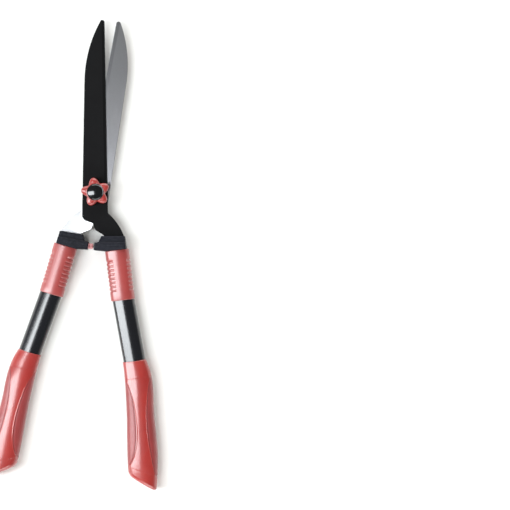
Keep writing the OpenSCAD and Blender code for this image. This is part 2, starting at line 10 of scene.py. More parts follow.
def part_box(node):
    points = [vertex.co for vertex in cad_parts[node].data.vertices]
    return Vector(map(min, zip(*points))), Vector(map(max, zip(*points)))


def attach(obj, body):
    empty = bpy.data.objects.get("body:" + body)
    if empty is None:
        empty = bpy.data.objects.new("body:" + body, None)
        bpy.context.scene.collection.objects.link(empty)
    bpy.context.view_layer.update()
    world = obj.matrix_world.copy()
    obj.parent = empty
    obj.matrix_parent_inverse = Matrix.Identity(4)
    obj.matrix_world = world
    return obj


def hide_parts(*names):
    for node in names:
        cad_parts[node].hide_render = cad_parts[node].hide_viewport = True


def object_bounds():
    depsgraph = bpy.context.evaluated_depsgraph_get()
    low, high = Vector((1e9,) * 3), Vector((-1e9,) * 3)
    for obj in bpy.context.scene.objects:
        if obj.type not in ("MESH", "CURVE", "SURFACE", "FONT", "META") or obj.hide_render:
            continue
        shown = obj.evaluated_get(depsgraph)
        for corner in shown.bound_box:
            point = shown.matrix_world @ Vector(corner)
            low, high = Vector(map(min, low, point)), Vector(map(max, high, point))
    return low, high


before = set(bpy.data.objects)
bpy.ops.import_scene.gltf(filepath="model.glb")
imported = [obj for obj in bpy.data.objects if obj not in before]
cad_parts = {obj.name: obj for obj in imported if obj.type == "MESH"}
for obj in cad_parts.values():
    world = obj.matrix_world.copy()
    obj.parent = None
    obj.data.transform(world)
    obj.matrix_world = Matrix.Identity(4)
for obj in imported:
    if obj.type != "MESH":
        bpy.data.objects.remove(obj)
cad_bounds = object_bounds()

MM = 0.001
MERGE_DIST = 2e-6

# ---------------------------------------------------------------- sizes of the part, in mm and degrees
BLADE_REACH = 250
BLADE_T = 3
EDGE_OFFSET = 16.8
BACK_OFFSET = 19.5
BLADE_TAPER = 1
TIP_R = 3.3
TIP_LEAN = 27.7
BACK_R = 185
BEVEL_W = 4.5
EDGE_LAND = 0.6
HEEL_DROP = 43
REST_OPENING = 9.7
CLOSED_OPENING = 5.1
BOLT_D = 8
COLLAR_DROP = 63.5
COLLAR_H = 20.4
UPPER_TIER_D = 21
LOWER_TIER_D = 30
UPPER_TIER_H = 8.5
COLLAR_CORNER_R = 2
LOBE_H = 11.4
SPIGOT_L = 42
LOBE_GAP = 2.4
BUFFER_D = 8
STOP_DEPTH = 4.9
FLANGE_D = 10
FLANGE_T = 1.4
STEM_D = 4
STEM_L = 9
HANDLE_X = 30.4
SLEEVE_LEAN = 6.9
TUBE_LEAN = 10.3
TUBE_W = 31.9
TUBE_D = 21
TUBE_WALL = 1.2
TUBE_SHOW = 91
TUBE_IN_GRIP = 38
TANG_W = 22
TANG_L = 40
RIVET_D = 5
RIVETS = 2
RIVET_PITCH = 16
RIVET_DROP = 12
SLEEVE_L = 73
SLEEVE_WALL = 1.4
BEND_RISE = 10
FLANK_GROOVES = 8
GROOVE_PITCH = 6
GROOVE_START = 15
FLANK_DEPTH = 0.9
INNER_SPAN = 70
OUTER_SPAN = 50
GRIP_L = 163
BUTT_SLANT = 27
MOUTH_WALL = 1.1
WAIST_WIDENING = 5.4
WAIST_DEEPENING = 3.9
SWELL_WIDENING = 4.4
SWELL_DEEPENING = 2.1
BUTT_R = 7
KNOB_LOBE_R = 21
KNOB_VALLEY_R = 14
KNOB_LOBES = 5
KNOB_TURN = 28
PUFF_REACH = 5.2
PUFF_H = 3.8
CAP_D = 24
CAP_SEAT = 2.6
SEAT_FIT = 0.1
SLIP_FIT = 0.15
RUNNING_FIT = 0.05

HANDLE_Y = COLLAR_DROP + COLLAR_H
BLADE_LOW = 0.2
BLADE_TOP = BLADE_LOW + BLADE_T
SLEEVE_W = TUBE_W + 2 * (SLIP_FIT + SLEEVE_WALL)
SLEEVE_D = TUBE_D + 2 * (SLIP_FIT + SLEEVE_WALL)
MOUTH_W = TUBE_W + 2 * (SLIP_FIT + MOUTH_WALL)
MOUTH_D = TUBE_D + 2 * (SLIP_FIT + MOUTH_WALL)
WAIST_W = MOUTH_W + WAIST_WIDENING
WAIST_D = MOUTH_D + WAIST_DEEPENING
SWELL_W = WAIST_W + SWELL_WIDENING
SWELL_D = WAIST_D + SWELL_DEEPENING
BEND_Y = BEND_RISE - SLEEVE_L
GRIP_Y = -BEND_RISE - TUBE_SHOW


# ---------------------------------------------------------------- small geometry helpers
def sin(a):
    return math.sin(math.radians(a))


def cos(a):
    return math.cos(math.radians(a))


def tan(a):
    return math.tan(math.radians(a))


def spow(v, p):
    """A power that keeps the sign."""
    return math.copysign(abs(v) ** p, v)


def step(a, b, v):
    """Smooth step from 0 at a to 1 at b."""
    t = min(1, max(0, (v - a) / (b - a)))
    return t * t * (3 - 2 * t)


def turned(v, a):
    """A flat vector turned anticlockwise."""
    return (v[0] * cos(a) - v[1] * sin(a), v[0] * sin(a) + v[1] * cos(a))


def add(a, b):
    return tuple(x + y for x, y in zip(a, b))


def rounded(corners, steps=12):
    """An outline from corners (x, y, radius), each corner turned into an arc."""
    out, n = [], len(corners)
    for i, (x, y, r) in enumerate(corners):
        p = Vector((x, y))
        u = (Vector(corners[i - 1][:2]) - p).normalized()
        v = (Vector(corners[(i + 1) % n][:2]) - p).normalized()
        half = math.degrees(math.acos(max(-1, min(1, u.dot(v))))) / 2
        centre = p + (u + v).normalized() * r / sin(half)
        start = p + u * r / tan(half) - centre
        turn = -math.copysign(180 - 2 * half, u.x * v.y - u.y * v.x)
        for k in range(steps + 1):
            out.append(add(centre, turned(start, turn * k / steps)))
    return out


def cleaned(points, gap=0.02):
    """An outline without the points that lie closer together than the gap."""
    out = []
    for p in points:
        if not out or math.dist(p, out[-1]) > gap:
            out.append(p)
    if math.dist(out[0], out[-1]) <= gap:
        out.pop()
    return out


def inset(points, d, parallel=1e-4, tries=12):
    """The outline moved inwards by d. Edges that the move would turn round close up to a point."""
    if d < 1e-6:
        return [tuple(p) for p in points]
    n = len(points)
    area = sum(points[i - 1][0] * points[i][1] - points[i][0] * points[i - 1][1] for i in range(n))
    side = 1 if area > 0 else -1
    ends = [(Vector(points[i]), Vector(points[(i + 1) % n])) for i in range(n)]
    ways = [(b - a).normalized() for a, b in ends]
    starts = [a + Vector((-w.y, w.x)) * side * d for (a, _), w in zip(ends, ways)]
    alive = [True] * n
    for _ in range(tries):
        out = []
        for i in range(n):
            e = next(j % n for j in range(i - 1 + n, i - 1, -1) if alive[j % n])
            f = next(j % n for j in range(i, i + n) if alive[j % n])
            cross = ways[e].cross(ways[f])
            if abs(cross) < parallel:
                out.append(Vector(points[i]) + Vector((-ways[f].y, ways[f].x)) * side * d)
            else:
                out.append(starts[e] + ways[e] * ((starts[f] - starts[e]).cross(ways[f]) / cross))
        bad = [i for i in range(n) if alive[i] and (out[(i + 1) % n] - out[i]).dot(ways[i]) < -1e-7]
        if not bad:
            break
        for i in bad:
            alive[i] = False
    return [tuple(p) for p in out]


def loft(rings, loop=False):
    """Vertices and faces of a skin through rings of the same number of points, with flat ends."""
    n, count = len(rings[0]), len(rings)
    verts = [p for r in rings for p in r]
    faces = []
    for k in range(count if loop else count - 1):
        m = (k + 1) % count
        for i in range(n):
            j = (i + 1) % n
            faces.append((k * n + i, m * n + i, m * n + j, k * n + j))
    if not loop:
        faces.append(tuple(range(n)))
        faces.append(tuple((count - 1) * n + i for i in reversed(range(n))))
    return verts, faces


def slab(outline, low, high, r, steps=5):
    """A plate with that outline, between two levels, with its rims rounded by r."""
    def rim(k):
        a = 90 * k / steps
        return inset(outline, r * (1 - sin(a))), r * (1 - cos(a))
    rims = [rim(k) for k in range(steps + 1)]
    rings = [[(*p, low + rise) for p in points] for points, rise in rims]
    rings += [[(*p, high - rise) for p in points] for points, rise in reversed(rims)]
    return loft(rings)


def circle(r, z, n):
    return [(r * cos(360 * i / n), r * sin(360 * i / n), z) for i in range(n)]


ON_AXIS = 0.001


def revolve(profile, n=96):
    """A turned solid about Z from (radius, z) pairs. A pair on the axis closes it."""
    return loft([circle(max(r, ON_AXIS), z, n) for r, z in profile])


def arc(cx, cz, r, a0, a1, steps):
    """Points on an arc, with both ends."""
    angles = [a0 + (a1 - a0) * k / steps for k in range(steps + 1)]
    return [(cx + r * cos(a), cz + r * sin(a)) for a in angles]


RIGHT = Matrix.Scale(MM, 4)
LEFT = (Matrix.Rotation(math.radians(-REST_OPENING), 4, "Z") @ Matrix.Rotation(math.pi, 4, "Y")
        @ Matrix.Scale(MM, 4))
HALVES = {"right": (RIGHT, "front_half"), "left": (LEFT, "rear_half")}


def new_object(name, verts, faces, place, sharp=40):
    """A mesh object from points in mm in a half's own frame, placed in the row frame."""
    mesh = bpy.data.meshes.new(name)
    bm = bmesh.new()
    made = [bm.verts.new(place @ Vector(v)) for v in verts]
    for f in faces:
        bm.faces.new([made[i] for i in f])
    bmesh.ops.remove_doubles(bm, verts=bm.verts, dist=MERGE_DIST)
    bmesh.ops.recalc_face_normals(bm, faces=bm.faces)
    bm.to_mesh(mesh)
    bm.free()
    o = bpy.data.objects.new(name, mesh)
    bpy.context.scene.collection.objects.link(o)
    shade(o, sharp)
    return o


def shade(o, sharp):
    """Smooth shading, with the edges that turn by more than an angle left sharp."""
    mesh = o.data
    bm = bmesh.new()
    bm.from_mesh(mesh)
    for f in bm.faces:
        f.smooth = True
    for e in bm.edges:
        e.smooth = len(e.link_faces) == 2 and e.calc_face_angle(0) < math.radians(sharp)
    bm.to_mesh(mesh)
    bm.free()


def carve(o, cutters, operation="DIFFERENCE", sharp=40):
    """o with each cutter mesh (verts, faces, place) cut from it or joined to it, as a plain mesh."""
    helpers = []
    for k, (verts, faces, place) in enumerate(cutters):
        c = new_object(f"{o.name}_cutter{k}", verts, faces, place)
        helpers.append(c)
        m = o.modifiers.new("carve", "BOOLEAN")
        m.operation = operation
        m.solver = "EXACT"
        m.object = c
    bpy.context.view_layer.update()
    done = bpy.data.meshes.new_from_object(o.evaluated_get(bpy.context.evaluated_depsgraph_get()))
    o.modifiers.clear()
    o.data = done
    for c in helpers:
        bpy.data.objects.remove(c)
    shade(o, sharp)
    return o


def finish_piece(o, node, body, slot, material=None, weighted=True):
    """Gives a piece its material (the slot's, unless one is given), puts it on its body and hides the CAD
    node it replaces.
    """
    o.data.materials.clear()
    o.data.materials.append(material or MATERIALS[slot])
    if weighted:
        w = o.modifiers.new("even_shading", "WEIGHTED_NORMAL")
        w.keep_sharp = True
        w.weight = 60
    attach(o, body)
    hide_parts(node)
    return o


# ---------------------------------------------------------------- materials
def link(tree, a, b):
    tree.links.new(a, b)


class Finish:
    """One procedural material: a Principled shader with its pattern nodes."""

    def __init__(self, name, turn=0, **sockets):
        self.m = bpy.data.materials.new(name)
        self.m.use_nodes = True
        self.tree = self.m.node_tree
        self.tree.nodes.clear()
        self.out = self.node("ShaderNodeOutputMaterial")
        self.bsdf = self.node("ShaderNodeBsdfPrincipled")
        link(self.tree, self.bsdf.outputs[0], self.out.inputs[0])
        for key, value in sockets.items():
            self.bsdf.inputs[key.replace("_", " ")].default_value = value
        self.coords = self.node("ShaderNodeTexCoord").outputs["Object"]
        if turn:
            m = self.node("ShaderNodeMapping")
            m.inputs["Rotation"].default_value = (0, 0, math.radians(turn))
            link(self.tree, self.coords, m.inputs[0])
            self.coords = m.outputs[0]
        self.normal = None

    def node(self, kind, **settings):
        n = self.tree.nodes.new(kind)
        for k, v in settings.items():
            setattr(n, k, v)
        return n

    def noise(self, scale, detail=3, stretch=(1, 1, 1), rough=0.55, distortion=0):
        src = self.coords
        if stretch != (1, 1, 1):
            m = self.node("ShaderNodeMapping")
            m.inputs["Scale"].default_value = stretch
            link(self.tree, src, m.inputs[0])
            src = m.outputs[0]
        n = self.node("ShaderNodeTexNoise")
        n.inputs["Scale"].default_value = scale
        n.inputs["Detail"].default_value = detail
        n.inputs["Roughness"].default_value = rough
        n.inputs["Distortion"].default_value = distortion
        link(self.tree, src, n.inputs["Vector"])
        return n.outputs["Fac"]

    def cells(self, scale, feature="F1"):
        n = self.node("ShaderNodeTexVoronoi", feature=feature)
        n.inputs["Scale"].default_value = scale
        link(self.tree, self.coords, n.inputs["Vector"])
        return n.outputs["Distance"]

    def span(self, value, a, b, lo=0.0, hi=1.0):
        """lo to hi as a value goes from a to b, with smooth ends."""
        n = self.node("ShaderNodeMapRange")
        n.interpolation_type = "SMOOTHSTEP"
        for i, v in zip((1, 2, 3, 4), (a, b, lo, hi)):
            n.inputs[i].default_value = v
        link(self.tree, value, n.inputs[0])
        return n.outputs[0]

    def calc(self, op, a, b):
        n = self.node("ShaderNodeMath", operation=op)
        for i, v in enumerate((a, b)):
            if isinstance(v, (int, float)):
                n.inputs[i].default_value = v
            else:
                link(self.tree, v, n.inputs[i])
        return n.outputs[0]

    def mix(self, fac, a, b):
        n = self.node("ShaderNodeMix", data_type="RGBA")
        if isinstance(fac, (int, float)):
            n.inputs[0].default_value = fac
        else:
            link(self.tree, fac, n.inputs[0])
        for i, v in ((6, a), (7, b)):
            if isinstance(v, tuple):
                n.inputs[i].default_value = (*v, 1)
            else:
                link(self.tree, v, n.inputs[i])
        return n.outputs[2]

    def along(self, axis):
        """The object coordinate along an axis (0 to 2), in metres."""
        n = self.node("ShaderNodeSeparateXYZ")
        link(self.tree, self.coords, n.inputs[0])
        return n.outputs[axis]

    def edge_gap(self, mirror=1):
        """How far a point of a blade lies from its cutting edge's line, in metres."""
        taper = self.calc("MULTIPLY", self.along(1), tan(BLADE_TAPER))
        line = self.calc("SUBTRACT", EDGE_OFFSET * MM, taper)
        return self.calc("SUBTRACT", line, self.calc("MULTIPLY", self.along(0), mirror))

    def attribute(self, name):
        n = self.node("ShaderNodeAttribute", attribute_name=name)
        return n.outputs["Fac"]

    def colour(self, socket):
        link(self.tree, socket, self.bsdf.inputs["Base Color"])
        return self

    def rough(self, socket):
        link(self.tree, socket, self.bsdf.inputs["Roughness"])
        return self

    def bump(self, height, distance, strength=1.0):
        n = self.node("ShaderNodeBump")
        n.inputs["Strength"].default_value = strength
        n.inputs["Distance"].default_value = distance
        link(self.tree, height, n.inputs["Height"])
        if self.normal is not None:
            link(self.tree, self.normal, n.inputs["Normal"])
        self.normal = n.outputs[0]
        link(self.tree, self.normal, self.bsdf.inputs["Normal"])
        return self


def plastic(name, dark, light, wear, rough=(0.28, 0.4), coat=0.6, coat_rough=0.12, coat_ior=1.6,
            stipple=900, spec=0.5):
    """Moulded plastic: slow colour drift, patchy gloss, moulding stipple, fine scuffs, paler worn edges."""
    f = Finish(name, Coat_Weight=coat, Coat_Roughness=coat_rough, Coat_IOR=coat_ior, Specular_IOR_Level=spec)
    drift = f.span(f.noise(22, 4), 0.35, 0.65)
    scuffs = f.span(f.noise(60, 5, stretch=(14, 1.3, 9), distortion=0.6), 0.62, 0.72)
    worn = f.attribute("wear")
    tone = f.mix(drift, dark, light)
    tone = f.mix(f.calc("MULTIPLY", scuffs, 0.18), tone, wear)
    worn = f.calc("MULTIPLY", worn, f.span(f.noise(260, 3), 0.35, 0.7, 0.1, 0.5))
    f.colour(f.mix(worn, tone, wear))
    gloss = f.span(f.noise(120, 4), 0.3, 0.7, *rough)
    f.rough(f.calc("ADD", gloss, f.calc("MULTIPLY", scuffs, 0.15)))
    f.bump(f.noise(90, 2), 0.0001, 0.35)
    f.bump(f.cells(stipple), 0.00002, 0.5)
    return f.m


def painted_black():
    """Gloss black enamel on the tubes, with faint orange peel and hairline scratches."""
    f = Finish("tube_enamel", Coat_Weight=1.0, Coat_Roughness=0.2, Coat_IOR=1.75, Specular_IOR_Level=0.1)
    lines = f.span(f.noise(70, 6, stretch=(22, 1, 14), rough=0.7), 0.66, 0.72)
    fac = f.calc("MULTIPLY", lines, 0.25)
    tone = f.mix(f.noise(18, 3), (0.004, 0.0045, 0.0065), (0.007, 0.008, 0.011))
    f.colour(f.mix(fac, tone, (0.1, 0.105, 0.12)))
    f.rough(f.calc("ADD", f.span(f.noise(140, 4), 0.3, 0.7, 0.16, 0.26), f.calc("MULTIPLY", lines, 0.2)))
    f.bump(f.noise(420, 2), 0.00003, 0.25)
    return f.m


def coated_steel():
    """Matt black non-stick coating on the front blade, rubbed at its edge and scratched by the other."""
    f = Finish("black_blade_coating", Specular_IOR_Level=0.06)
    scratch = f.span(f.noise(46, 6, stretch=(1.1, 26, 20), rough=0.72), 0.655, 0.70)
    long_marks = f.span(f.noise(34, 6, stretch=(26, 1, 20), rough=0.7, distortion=0.3), 0.66, 0.71)
    marks = f.calc("MAXIMUM", f.calc("MULTIPLY", scratch, 0.25), f.calc("MULTIPLY", long_marks, 0.3))
    on_blade = f.span(f.along(1), 0.0, 0.01)
    rubbed = f.calc("MULTIPLY", f.span(f.edge_gap(), 0.0001, 0.0007, 1, 0), on_blade)
    worn = f.calc("MULTIPLY", rubbed, f.span(f.noise(300, 4), 0.3, 0.6, 0.15, 0.8))
    tone = f.mix(f.noise(16, 4), (0.0055, 0.0055, 0.006), (0.008, 0.008, 0.0085))
    tone = f.mix(marks, tone, (0.03, 0.03, 0.032))
    f.colour(f.mix(worn, tone, (0.2, 0.2, 0.21)))
    link(f.tree, f.calc("MULTIPLY", worn, 0.9), f.bsdf.inputs["Metallic"])
    f.rough(f.calc("SUBTRACT", f.span(f.noise(90, 5), 0.3, 0.7, 0.56, 0.68), f.calc("MULTIPLY", marks, 0.2)))
    f.bump(f.noise(1500, 3), 0.00002, 0.5)
    f.bump(marks, 0.00003, 0.3)
    return f.m


def ground_steel():
    """Bare ground blade steel: fine grinding lines across the blade, long polish streaks, faint stains and a
    dark strip along the cutting edge, with painted reflection: paler towards the pivot and near white over
    the tang."""
    f = Finish("ground_blade_steel", turn=REST_OPENING, Metallic=1.0, Anisotropic=0.45)
    across = f.noise(60, 4, stretch=(3, 60, 1), rough=0.6)
    along = f.noise(30, 4, stretch=(40, 1, 1), rough=0.6)
    stains = f.span(f.noise(14, 3), 0.5, 0.8)
    # Painted reflection: the steel is painted paler from the tip towards the pivot, standing in for the
    # window's glare
    low = f.span(f.along(1), 0.25, -0.01)
    tone = f.mix(low, (0.34, 0.34, 0.35), (0.42, 0.417, 0.44))
    # Painted highlight: the tang is painted near white, standing in for the window's glare on it
    tone = f.mix(f.span(f.along(1), -0.008, -0.042), tone, (0.85, 0.85, 0.86))
    tone = f.mix(f.calc("MULTIPLY", f.span(across, 0.3, 0.7), 0.3), tone, (0.24, 0.24, 0.25))
    tone = f.mix(f.calc("MULTIPLY", stains, 0.3), tone, (0.24, 0.23, 0.215))
    gap = f.edge_gap(-1)
    strip = f.calc("MULTIPLY", f.span(gap, 0.0045, 0.006, 1, 0), f.span(f.along(1), 0.08, 0.2))
    tone = f.mix(f.calc("MULTIPLY", strip, 0.4), tone, (0.17, 0.17, 0.18))
    tone = f.mix(f.calc("MULTIPLY", f.span(gap, 0.0001, 0.0006, 1, 0), 0.5), tone, (0.55, 0.55, 0.57))
    f.colour(tone)
    f.rough(f.calc("ADD", f.span(along, 0.3, 0.7, 0.3, 0.38), f.calc("MULTIPLY", stains, 0.08)))
    f.bump(across, 0.00001, 0.4)
    f.bump(along, 0.00001, 0.2)
    return f.m


def plated_steel():
    """Bright zinc plate with a faint passivation tint."""
    f = Finish("zinc_plate", Metallic=1.0)
    tint = (0.62, 0.61, 0.57)
    f.colour(f.mix(f.noise(180, 4), tuple(0.85 * c for c in tint), tint))
    f.rough(f.span(f.noise(500, 4), 0.3, 0.7, 0.24, 0.4))
    f.bump(f.noise(900, 3), 0.00002, 0.4)
    return f.m


def soft_rubber(name, dark, light, stipple=1100):
    """Soft moulded grip rubber: fine spark-eroded texture and a dusty bloom."""
    f = Finish(name, Specular_IOR_Level=0.6, Sheen_Weight=0.1, Sheen_Roughness=0.4, Coat_Weight=0.8,
               Coat_Roughness=0.34)
    bloom = f.span(f.noise(35, 5), 0.4, 0.7)
    tone = f.mix(bloom, dark, light)
    grime = f.span(f.noise(140, 5, distortion=0.5), 0.6, 0.75)
    f.colour(f.mix(f.calc("MULTIPLY", grime, 0.12), tone, tuple(0.5 * c for c in dark)))
    f.rough(f.span(f.noise(220, 4), 0.3, 0.7, 0.5, 0.66))
    f.bump(f.cells(stipple, "SMOOTH_F1"), 0.00006, 0.5)
    f.bump(f.noise(70, 2), 0.0002, 0.2)
    return f.m


MATERIALS = {
    "black_steel": coated_steel(),
    "bare_steel": ground_steel(),
    "plated_steel": plated_steel(),
    "tube_paint": painted_black(),
    "black_plastic": plastic("collar_plastic", (0.007, 0.008, 0.012), (0.011, 0.012, 0.018),
                             rough=(0.42, 0.54), coat=0.0, coat_rough=0.25, stipple=1300,
                             wear=(0.05, 0.052, 0.065), spec=0.12),
    "cap_plastic": plastic("cap_plastic_gloss", (0.003, 0.0035, 0.004), (0.005, 0.0055, 0.006),
                           rough=(0.16, 0.24), coat=1.0, coat_rough=0.05, coat_ior=1.6,
                           wear=(0.03, 0.03, 0.035), spec=0.2),
    "red_plastic": plastic("red_moulding", (0.3, 0.021, 0.017), (0.35, 0.027, 0.021), rough=(0.34, 0.46),
                           coat=0.9, coat_rough=0.18, coat_ior=1.6, wear=(0.42, 0.08, 0.07)),
    "red_soft": soft_rubber("red_soft_pad", (0.24, 0.018, 0.018), (0.28, 0.024, 0.023)),
    "buffer_rubber": soft_rubber("buffer_rubber", (0.6, 0.23, 0.24), (0.66, 0.27, 0.28), stipple=1500),
    "nylon": plastic("nylon_washer", (0.6, 0.59, 0.55), (0.7, 0.69, 0.65), wear=(0.75, 0.74, 0.7)),
}
# The sleeves are passed the grips' slot, but take a duller red of their own
SLEEVE_RED = plastic("red_sleeve", (0.3, 0.028, 0.024), (0.34, 0.034, 0.03), rough=(0.48, 0.6), coat=1.0,
                     coat_rough=0.3, coat_ior=1.75, wear=(0.4, 0.1, 0.09), spec=0.6)
WEAR_FROM = 6


def wear_edges(o, sharp, amount):
    """Marks the points on sharp or rounded convex rims as worn, fully where they turn by sharp degrees."""
    bm = bmesh.new()
    bm.from_mesh(o.data)
    worn = []
    for v in bm.verts:
        bend = 0
        for e in v.link_edges:
            if len(e.link_faces) == 2 and e.is_convex:
                bend = max(bend, e.calc_face_angle(0))
        bend = math.degrees(bend)
        worn.append(min(1, bend / sharp) * amount if bend > WEAR_FROM else 0)
    bm.free()
    o.data.attributes.new("wear", "FLOAT", "POINT").data.foreach_set("value", worn)


# ---------------------------------------------------------------- the handle's axes
def on_handle(p):
    """A point of the sleeve's own frame, in the half's frame."""
    return add((HANDLE_X, -HANDLE_Y), turned(p, SLEEVE_LEAN))


def below_bend(p):
    """A point of the straight tube's own frame, in the half's frame."""
    return add(on_handle((0, BEND_Y)), turned(p, TUBE_LEAN))


GRIP_TOP = below_bend((0, GRIP_Y))
BEND_REACH = 7


def axis_at(y):
    """Middle and lean of the tube at a way down it from the bend, which is a short arc. Above the bend y is
    on the sleeve's axis, below it on the tube's."""
    t = step(BEND_REACH, -BEND_REACH, y)
    upper, lower = on_handle((0, BEND_Y + y)), below_bend((0, y))
    middle = tuple(a * (1 - t) + b * t for a, b in zip(upper, lower))
    return middle, SLEEVE_LEAN + (TUBE_LEAN - SLEEVE_LEAN) * t


def oval_at(c, lean, w, d, angles, p=1.0):
    """Points of an upright oval across a leaning axis, at angles round it."""
    out = []
    for f in angles:
        a = turned((w / 2 * spow(cos(f), p), 0), lean)
        out.append((c[0] + a[0], c[1] + a[1], d / 2 * spow(sin(f), p)))
    return out


def oval(c, lean, w, d, n):
    return oval_at(c, lean, w, d, [360 * i / n for i in range(n)])


# ---------------------------------------------------------------- blades
def edge_x(y):
    return EDGE_OFFSET - y * tan(BLADE_TAPER)


def back_x(y):
    return -BACK_OFFSET + y * tan(BLADE_TAPER)


tip_corner_y = BLADE_REACH + TIP_R * (1 / sin((TIP_LEAN + BLADE_TAPER) / 2) - 1)
back_corner_y = tip_corner_y - (edge_x(tip_corner_y) - back_x(BLADE_REACH * 0.82)) / tan(TIP_LEAN)
shoulder_y = -COLLAR_DROP - 5
BLADE_CORNERS = [
    (edge_x(tip_corner_y), tip_corner_y, TIP_R),
    (edge_x(-30), -30, 3),
    (HANDLE_X + 1.6, -44.6, 80),
    (HANDLE_X + 10, 1 - COLLAR_DROP, 2),
    (HANDLE_X + 10, shoulder_y, 2),
    (*on_handle((TANG_W / 2, 10)), 2),
    (*on_handle((TANG_W / 2, -TANG_L)), 3),
    (*on_handle((-TANG_W / 2, -TANG_L)), 3),
    (*on_handle((-TANG_W / 2, 10)), 2),
    (HANDLE_X - 18, shoulder_y, 1),
    (HANDLE_X - 19, 1 - COLLAR_DROP, 2),
    (-1.5, -11.5 - HEEL_DROP, 2.5),
    (-4.3, -2 - HEEL_DROP, 1),
    (-16.7, 2.4 - HEEL_DROP, 2),
    (back_x(-35.6), 7.4 - HEEL_DROP, 2),
    (back_x(back_corner_y), back_corner_y, BACK_R),
]


def rivet_cutters(place):
    """The holes for the rivets, through the whole depth of the handle."""
    out, r = [], RIVET_D / 2 + SEAT_FIT
    for i in range(RIVETS):
        c = on_handle((0, -RIVET_DROP - i * RIVET_PITCH))
        v, f = revolve([(r, -LOWER_TIER_D), (r, LOWER_TIER_D)], 40)
        out.append(([(x + c[0], y + c[1], z) for x, y, z in v], f, place))
    return out


def blade(side, node):
    place, body = HALVES[side]
    outline = cleaned(rounded(BLADE_CORNERS, 14))
    v, f = slab(outline, BLADE_LOW, BLADE_TOP, 0.32, 3)
    o = new_object(f"fine_{node}", v, f, place, 50)
    # The ground bevel: a long wedge that runs out in a slope near the pivot
    over, past = 4.0, BEVEL_W / (BLADE_T - EDGE_LAND)
    slope = (BLADE_T - EDGE_LAND) / BEVEL_W
    runout_y, runout_pitch, runout_lift = 20, 3, 0.075

    def wedge_ring(y, lift):
        x = edge_x(y)
        return [(x + over, y, BLADE_LOW + EDGE_LAND - over * slope + lift),
                (x - BEVEL_W - past, y, BLADE_TOP + 1 + lift), (x + over, y, BLADE_TOP + 6 + lift)]
    rings = [wedge_ring(BLADE_REACH + 14, 0), wedge_ring(runout_y, 0)]
    rings += [wedge_ring(runout_y - runout_pitch * k, runout_lift * k * k) for k in range(1, 8)]
    cutters = [(*loft(rings), place)]
    if side == "right":
        bore = revolve([(BOLT_D / 2 + RUNNING_FIT, -2), (BOLT_D / 2 + RUNNING_FIT, 6)], 64)
    else:
        h = BOLT_D / 2 + SEAT_FIT
        bore = loft([[(-h, -h, z), (h, -h, z), (h, h, z), (-h, h, z)] for z in (-2, 6)])
    cutters.append((*bore, place))
    cutters += rivet_cutters(place)
    carve(o, cutters, sharp=18)
    slot = "black_steel" if side == "right" else "bare_steel"
    return finish_piece(o, node, body, slot)


# ---------------------------------------------------------------- collars and buffer
def lobe_face_x(y):
    return y * tan(CLOSED_OPENING / 2) + LOBE_GAP / 2


lobe_low = -HANDLE_Y - 0.4
lobe_mid = lobe_low + LOBE_H / 2
collar_side = TUBE_W / 2 - 2.2
COLLAR_CORNERS = [
    (HANDLE_X - 22, -COLLAR_DROP, COLLAR_CORNER_R),
    (HANDLE_X + 11.5, -COLLAR_DROP, COLLAR_CORNER_R),
    (*on_handle((collar_side, 8)), 4),
    (*on_handle((collar_side, 0)), 0.5),
    (*on_handle((-TUBE_W / 2 - 1, 0)), COLLAR_CORNER_R),
    (lobe_face_x(lobe_low), lobe_low, COLLAR_CORNER_R),
    (lobe_face_x(lobe_low + LOBE_H), lobe_low + LOBE_H, COLLAR_CORNER_R),
    (3.6, lobe_low + LOBE_H, 3),
]
TIER_Y = -COLLAR_DROP - UPPER_TIER_H
LOBE_AXIS = (Matrix.Translation((lobe_face_x(lobe_mid), lobe_mid, 0))
             @ Matrix.Rotation(math.radians(-CLOSED_OPENING / 2), 4, "Z")
             @ Matrix.Rotation(math.radians(-90), 4, "Y"))
# Round-bottomed bands across both faces, two on the lower tier and one on the upper: y, height of the
# cutting rod's axis, and its radius
BANDS = ((TIER_Y - 3.4, LOWER_TIER_D / 2 + 0.35, 0.9), (TIER_Y - 7.0, LOWER_TIER_D / 2 + 0.35, 0.9),
         (-COLLAR_DROP - 3.6, UPPER_TIER_D / 2 + 0.3, 0.75))
BAND_START, BAND_END = -30, 90


def clipped(points, y_max):
    """The part of an outline below a level."""
    out = []
    for i, b in enumerate(points):
        a = points[i - 1]
        if (a[1] <= y_max) != (b[1] <= y_max):
            t = (y_max - a[1]) / (b[1] - a[1])
            out.append((a[0] + (b[0] - a[0]) * t, y_max))
        if b[1] <= y_max:
            out.append(b)
    return out


def moved(shape, m):
    """A shape (verts, faces) with its points moved by a matrix."""
    v, f = shape
    return [tuple(m @ Vector(p)) for p in v], f


def rod(a, b, r, n=24):
    """A long round cutter between two points."""
    a, b = Vector(a), Vector(b)
    turn = (b - a).to_track_quat("Z", "Y").to_matrix().to_4x4()
    return moved(revolve([(r, 0), (r, (b - a).length)], n), Matrix.Translation(a) @ turn)


